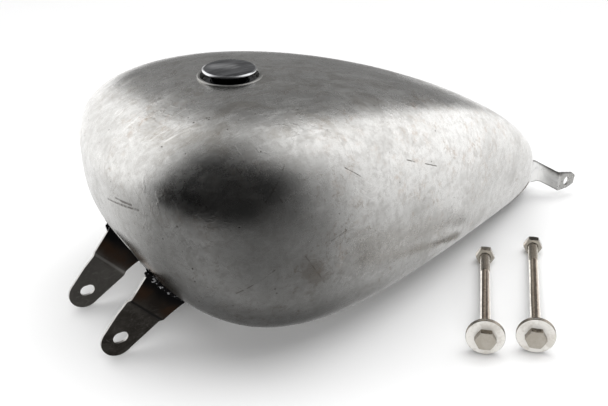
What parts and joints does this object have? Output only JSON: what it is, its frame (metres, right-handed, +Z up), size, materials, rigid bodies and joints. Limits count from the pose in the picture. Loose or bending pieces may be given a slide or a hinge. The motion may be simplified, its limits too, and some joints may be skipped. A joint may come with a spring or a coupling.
{
  "type": "motorcycle fuel tank",
  "caption": "Teardrop motorcycle fuel tank in bare steel with a pop-up filler cap, front and rear mounting lugs and loose mounting bolts.",
  "frame": {"origin": "on the centre plane and the filler cap's axis, where that axis meets the level front part of the tunnel's roof", "axes": "+X to the rear of the motorcycle, +Z up along the cap's axis, -Y is the motorcycle's left side"},
  "size_m": [0.6014, 0.408, 0.2302],
  "materials": {
    "raw_steel": "satin, smudged and scratched bare sheet",
    "pan_steel": "satin bare sheet",
    "heated_steel": "heat-blackened, satin",
    "bright_steel": "bright pressed steel",
    "black_chrome": "gloss black chrome",
    "dark_chrome": "gloss smoked chrome",
    "zinc_plate": "bright zinc and nickel plate",
    "rubber": "matt",
    "spring_steel": "bright drawn wire"
  },
  "bodies": {
    "tank": {"left_shell": "raw_steel", "right_shell": "raw_steel", "tunnel_pan": "pan_steel", "filler_bung": "raw_steel", "fuel_outlet_bung": "pan_steel", "front_left_tab": "heated_steel", "front_right_tab": "heated_steel", "rear_ear": "bright_steel"},
    "cap_seal": {"cap_seal": "rubber"},
    "cap_o_ring": {"cap_o_ring": "rubber"},
    "cap_plug": {"cap_plug": "black_chrome", "cap_vent_valve": "bright_steel", "cap_spring": "spring_steel"},
    "cap_knob": {"cap_knob": "black_chrome", "cap_lid": "dark_chrome", "cap_clip": "spring_steel"},
    "nut_1": {"nut_1": "zinc_plate"},
    "washer_1_outer": {"washer_1_outer": "zinc_plate"},
    "washer_1_inner": {"washer_1_inner": "zinc_plate"},
    "bolt_1": {"bolt_1": "zinc_plate"},
    "nut_2": {"nut_2": "zinc_plate"},
    "washer_2_outer": {"washer_2_outer": "zinc_plate"},
    "washer_2_inner": {"washer_2_inner": "zinc_plate"},
    "bolt_2": {"bolt_2": "zinc_plate"}
  },
  "joints": [
    {"name": "cap_lift_off", "type": "slide", "parent": "tank", "child": "cap_seal", "axis": [0, 0, 1], "range_m": [0, 0.06]},
    {"name": "cap_thread_rise", "type": "slide", "parent": "cap_seal", "child": "cap_o_ring", "axis": [0, 0, 1], "range_m": [0, 0.0121]},
    {"name": "cap_turn", "type": "hinge", "parent": "cap_o_ring", "child": "cap_plug", "pos_m": [0, 0, 0.11], "axis": [0, 0, 1], "range_deg": [0, 1080]},
    {"name": "knob_pop", "type": "slide", "parent": "cap_plug", "child": "cap_knob", "axis": [0, 0, 1], "range_m": [-0.0075, 0], "stiffness_N_per_m": 250, "springref_m": 0.02, "deforming": ["cap_spring"]},
    {"name": "bolt_set_1_lift", "type": "slide", "parent": "tank", "child": "nut_1", "axis": [0, 0, 1], "range_m": [0, 0.08]},
    {"name": "bolt_1_travel", "type": "slide", "parent": "nut_1", "child": "washer_1_outer", "axis": [-0.6796, -0.7313, 0.0584], "range_m": [0, 0.0105]},
    {"name": "bolt_1_turn", "type": "hinge", "parent": "washer_1_outer", "child": "bolt_1", "pos_m": [0.1332, -0.2162, -0.07765], "axis": [-0.6796, -0.7313, 0.0584], "range_deg": [0, 2520.1]},
    {"name": "washer_1_slide", "type": "slide", "parent": "washer_1_outer", "child": "washer_1_inner", "axis": [0.6796, 0.7313, -0.0584], "range_m": [0, 0.045]},
    {"name": "bolt_set_2_lift", "type": "slide", "parent": "tank", "child": "nut_2", "axis": [0, 0, 1], "range_m": [0, 0.08]},
    {"name": "bolt_2_travel", "type": "slide", "parent": "nut_2", "child": "washer_2_outer", "axis": [-0.7037, -0.7086, 0.0517], "range_m": [0, 0.0105]},
    {"name": "bolt_2_turn", "type": "hinge", "parent": "washer_2_outer", "child": "bolt_2", "pos_m": [0.1729, -0.2386, -0.07767], "axis": [-0.7037, -0.7086, 0.0517], "range_deg": [0, 2520.1]},
    {"name": "washer_2_slide", "type": "slide", "parent": "washer_2_outer", "child": "washer_2_inner", "axis": [0.7037, 0.7086, -0.0517], "range_m": [0, 0.045]}
  ],
  "couplings": [
    {"joint": "cap_thread_rise", "follows": "cap_turn", "m_per_rad": 0.00063662},
    {"joint": "bolt_1_turn", "follows": "bolt_1_travel", "rad_per_m": 4188.8},
    {"joint": "bolt_2_turn", "follows": "bolt_2_travel", "rad_per_m": 4188.8}
  ]
}
